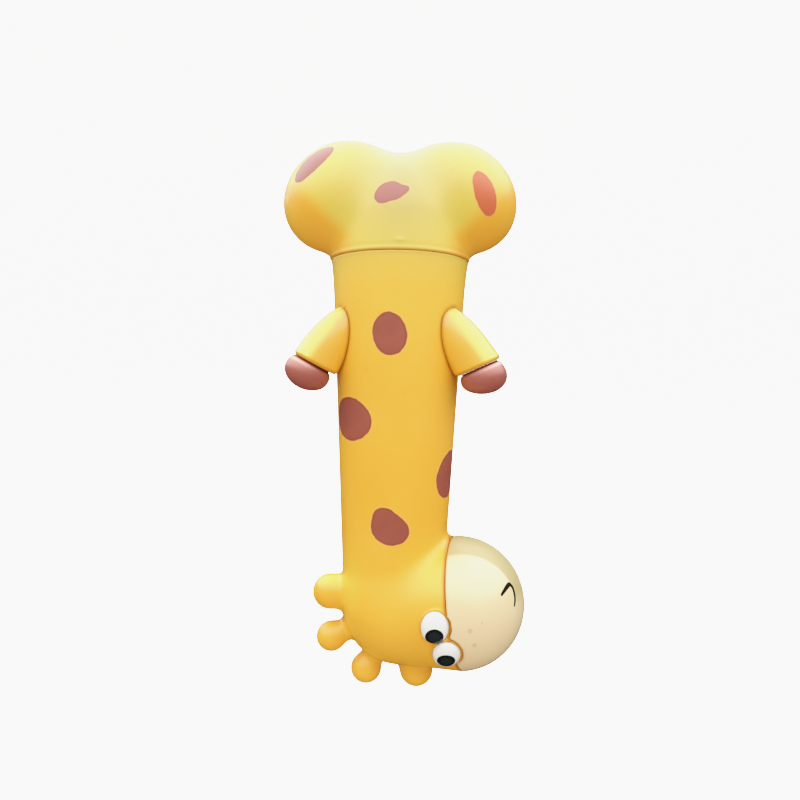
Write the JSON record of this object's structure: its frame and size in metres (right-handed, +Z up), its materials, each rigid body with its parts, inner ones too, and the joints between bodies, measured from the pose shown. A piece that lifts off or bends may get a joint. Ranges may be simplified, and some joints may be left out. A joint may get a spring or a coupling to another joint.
{
  "type": "giraffe figurine",
  "caption": "Upright giraffe figurine with a column-shaped neck, ball muzzle, raised stub forelegs and a lobed base; a display or nursery ornament.",
  "frame": {"origin": "ground level under the middle of the figure's bounding box, between the two soles", "axes": "+Z up along the neck; the muzzle points to -X; the eyes, arms' roots and painted smile are on the -Y side"},
  "size_m": [0.0916, 0.0535, 0.1994],
  "materials": {
    "yellow_vinyl": "satin soft vinyl with painted brown spots",
    "cream_vinyl": "satin soft vinyl with a painted smile and nostrils",
    "brown_vinyl": "satin soft vinyl",
    "white_vinyl": "gloss with a painted black pupil"
  },
  "bodies": {
    "root": {"base": "yellow_vinyl", "body": "yellow_vinyl", "muzzle": "cream_vinyl", "eye_lower": "white_vinyl", "eye_upper": "white_vinyl", "arm_left": "yellow_vinyl", "arm_right": "yellow_vinyl", "hoof_left": "brown_vinyl", "hoof_right": "brown_vinyl"}
  },
  "joints": []
}
